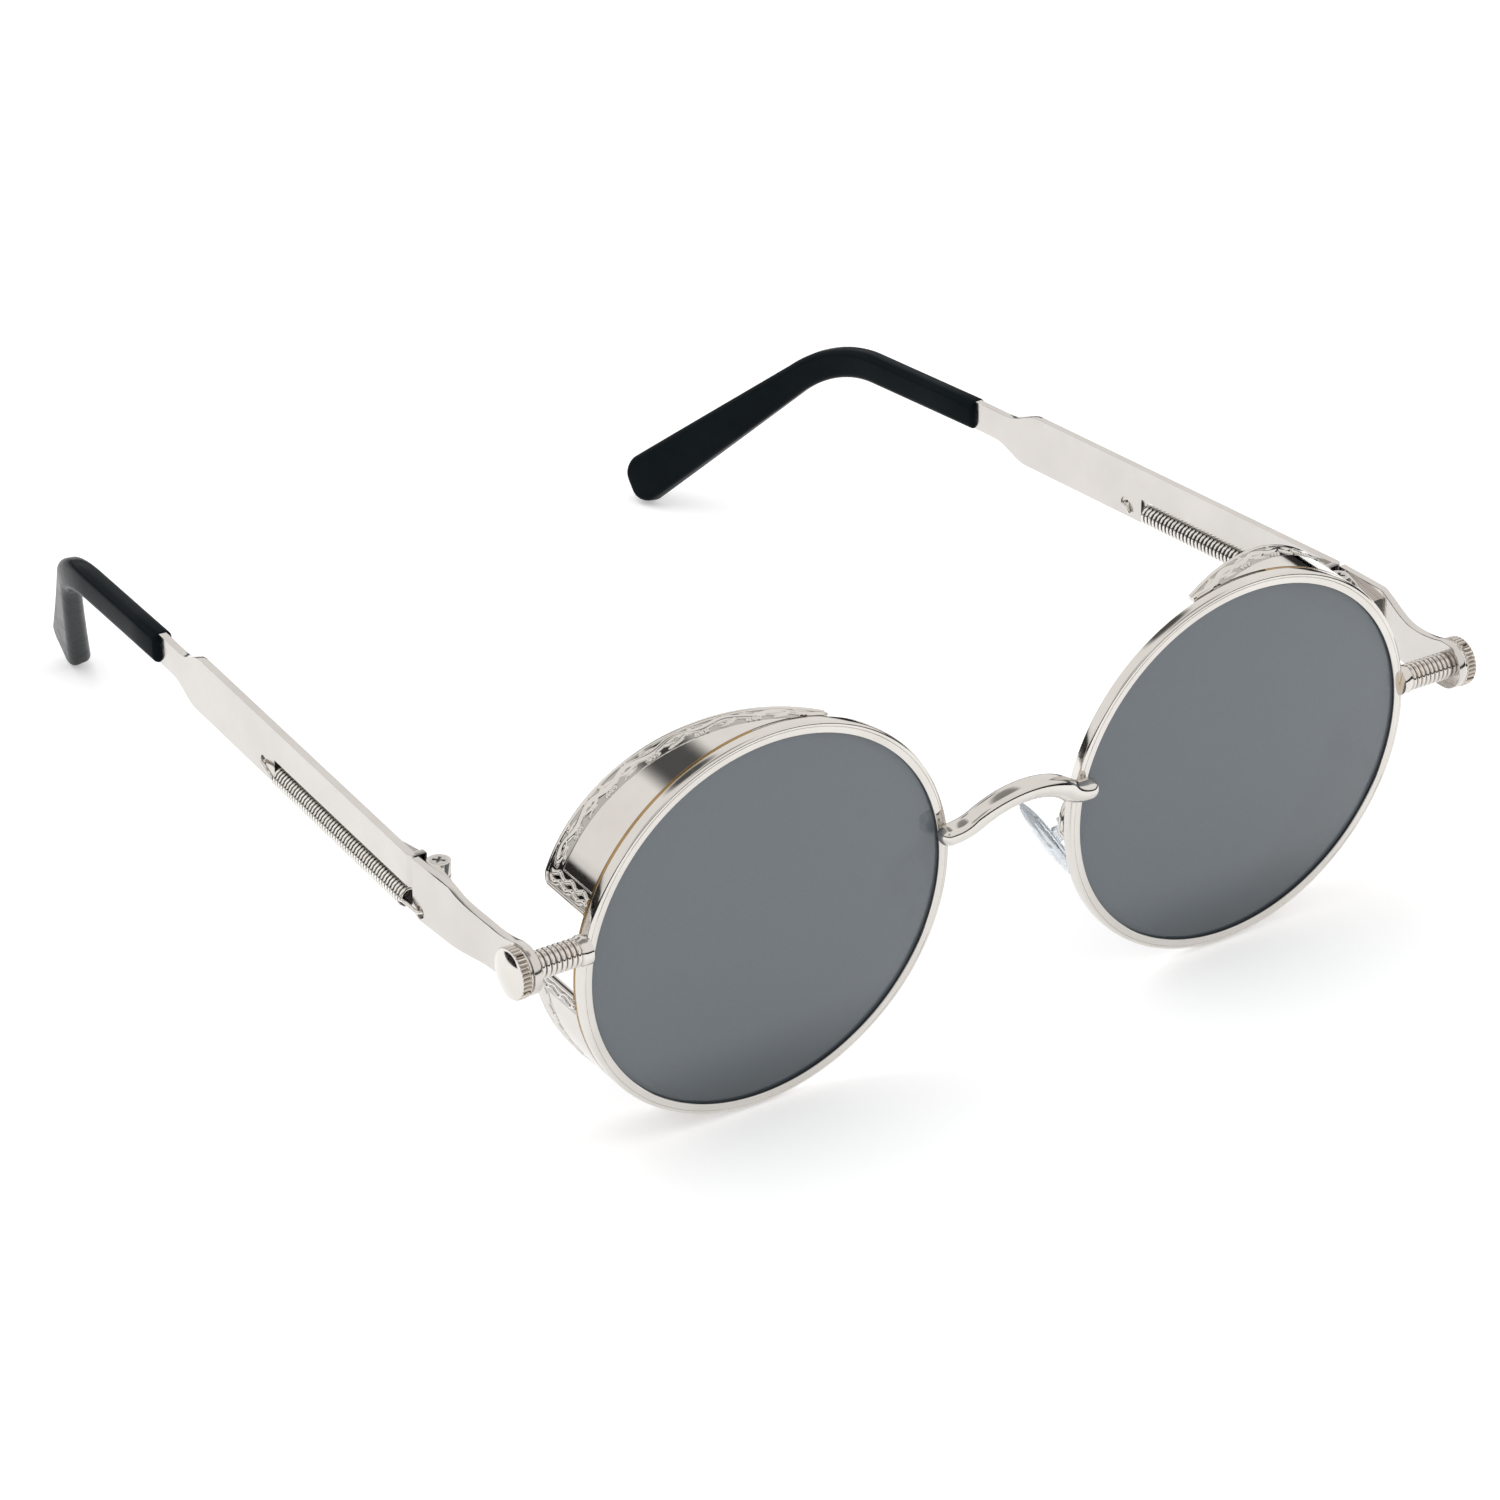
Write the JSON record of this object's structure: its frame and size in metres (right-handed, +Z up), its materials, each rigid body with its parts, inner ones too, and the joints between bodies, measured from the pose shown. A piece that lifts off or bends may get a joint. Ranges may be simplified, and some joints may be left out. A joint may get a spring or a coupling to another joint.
{
  "type": "glasses",
  "caption": "Round metal sunglasses with tinted lenses, ornamented side shields, knurled side knobs and folding temples that carry coil springs and black ear tips.",
  "frame": {"origin": "middle of the bottom of the whole object's bounding box, on the table under the two rims and the two temple tips", "axes": "+X towards the wearer's left, +Y back along the open temples, +Z up"},
  "size_m": [0.1416, 0.159, 0.0523],
  "materials": {
    "rim_metal": "polished nickel plate",
    "shield_metal": "polished nickel plate with a raised ornamented border and a brass seam",
    "plate_metal": "polished nickel plate",
    "turned_metal": "turned and knurled, nickel plated",
    "spring_wire": "bright drawn wire",
    "screw_steel": "bright steel",
    "tinted_lens": "smooth, smoke grey, slightly see-through",
    "clear_pad": "clear and smooth",
    "black_sleeve": "glossy black"
  },
  "bodies": {
    "front": {"left_rim": "rim_metal", "right_rim": "rim_metal", "left_lens": "tinted_lens", "right_lens": "tinted_lens", "bridge": "rim_metal", "left_upper_shield": "shield_metal", "right_upper_shield": "shield_metal", "left_lower_shield": "shield_metal", "right_lower_shield": "shield_metal", "left_stud": "turned_metal", "right_stud": "turned_metal", "left_knob": "turned_metal", "right_knob": "turned_metal", "left_end_piece": "plate_metal", "right_end_piece": "plate_metal", "left_front_leaf": "plate_metal", "right_front_leaf": "plate_metal", "left_hinge_screw": "screw_steel", "right_hinge_screw": "screw_steel", "left_pad_arm": "rim_metal", "right_pad_arm": "rim_metal", "left_pad_screw": "screw_steel", "right_pad_screw": "screw_steel"},
    "left_temple_assembly": {"left_temple": "plate_metal", "left_rear_leaf": "plate_metal", "left_temple_spring": "spring_wire", "left_temple_tip": "black_sleeve"},
    "right_temple_assembly": {"right_temple": "plate_metal", "right_rear_leaf": "plate_metal", "right_temple_spring": "spring_wire", "right_temple_tip": "black_sleeve"},
    "left_pad_assembly": {"left_nose_pad": "clear_pad"},
    "right_pad_assembly": {"right_nose_pad": "clear_pad"}
  },
  "joints": [
    {"name": "left_temple_fold", "type": "hinge", "parent": "front", "child": "left_temple_assembly", "pos_m": [0.06715, -0.05457, 0.03186], "axis": [0, 0, 1], "range_deg": [0, 80], "deforming": ["left_temple_spring"]},
    {"name": "right_temple_fold", "type": "hinge", "parent": "front", "child": "right_temple_assembly", "pos_m": [-0.06715, -0.05457, 0.03186], "axis": [0, 0, -1], "range_deg": [0, 85.5], "deforming": ["right_temple_spring"]},
    {"name": "left_pad_rock", "type": "hinge", "parent": "front", "child": "left_pad_assembly", "pos_m": [0.01313, -0.06951, 0.02084], "axis": [0.5299, 0.848, 0], "range_deg": [-8, 8]},
    {"name": "right_pad_rock", "type": "hinge", "parent": "front", "child": "right_pad_assembly", "pos_m": [-0.01313, -0.06951, 0.02084], "axis": [-0.5299, 0.848, 0], "range_deg": [-8, 8]}
  ]
}
